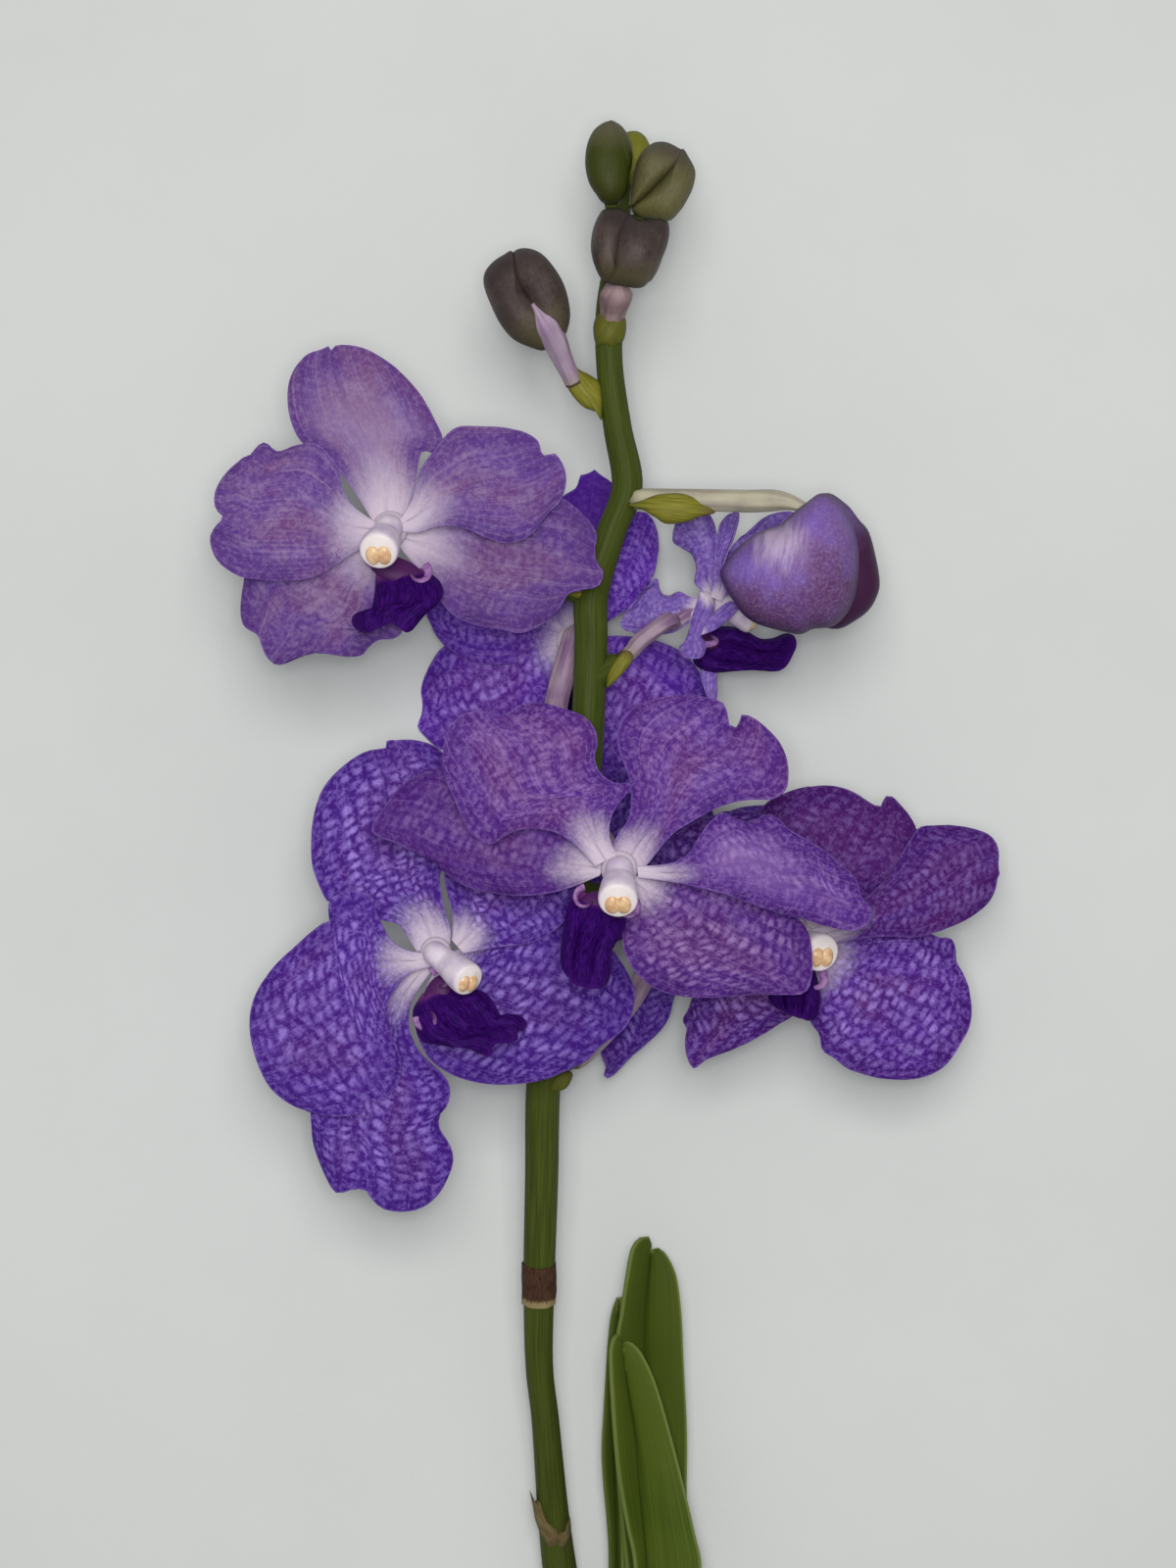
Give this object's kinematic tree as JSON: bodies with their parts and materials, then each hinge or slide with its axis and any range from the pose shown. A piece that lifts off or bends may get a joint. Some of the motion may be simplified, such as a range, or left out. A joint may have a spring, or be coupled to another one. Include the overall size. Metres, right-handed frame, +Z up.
{
  "type": "vanda orchid flower spike",
  "caption": "Cut flowering shoot of a blue vanda orchid, laid flat: netted violet flowers and buds on a green stem, with folded strap leaves at its foot.",
  "frame": {"origin": "centre of the outline seen from above, on the surface that the shoot lies on", "axes": "+Y along the flower stem from the cut foot to the bud tip, +Z up from the surface, towards the faces of the front flowers, +X to the right of both"},
  "size_m": [0.1754, 0.3891, 0.0901],
  "materials": {
    "stem_green": "satin",
    "stalk_pink": "satin",
    "bud_violet": "satin",
    "bud_purple": "satin",
    "bud_green": "satin",
    "leaf_green": "satin",
    "straw": "matte",
    "tepal_pale": "matte, softly netted",
    "tepal_violet": "matte, netted",
    "column_white": "satin",
    "lip_violet": "satin"
  },
  "bodies": {
    "root": {"basal_bract": "straw", "bud_1": "bud_purple", "bud_1_pedicel": "stalk_pink", "bud_2": "bud_purple", "bud_2_pedicel": "stalk_pink", "bud_3": "bud_purple", "bud_4": "bud_green", "bud_5": "bud_green", "flower_a_column": "column_white", "flower_a_lip": "lip_violet", "flower_a_pedicel": "stalk_pink", "flower_a_tepals": "tepal_pale", "flower_b_column": "column_white", "flower_b_lip": "lip_violet", "flower_b_pedicel": "stalk_pink", "flower_b_tepals": "tepal_violet", "flower_c_column": "column_white", "flower_c_lip": "lip_violet", "flower_c_pedicel": "stalk_pink", "flower_c_tepals": "tepal_pale", "flower_e_column": "column_white", "flower_e_lip": "lip_violet", "flower_e_pedicel": "stalk_pink", "flower_e_tepals": "tepal_violet", "flower_f_column": "column_white", "flower_f_lip": "lip_violet", "flower_f_pedicel": "stalk_pink", "flower_f_tepals": "tepal_violet", "flower_g_column": "column_white", "flower_g_lip": "lip_violet", "flower_g_pedicel": "stalk_pink", "flower_g_tepals": "tepal_violet", "flower_h_column": "column_white", "flower_h_lip": "lip_violet", "flower_h_pedicel": "stalk_pink", "flower_h_tepals": "tepal_violet", "flower_stem": "stem_green", "leaf_1": "leaf_green", "leaf_2": "leaf_green", "leaf_3": "leaf_green", "opening_bud": "bud_violet", "opening_bud_pedicel": "stalk_pink"}
  },
  "joints": []
}
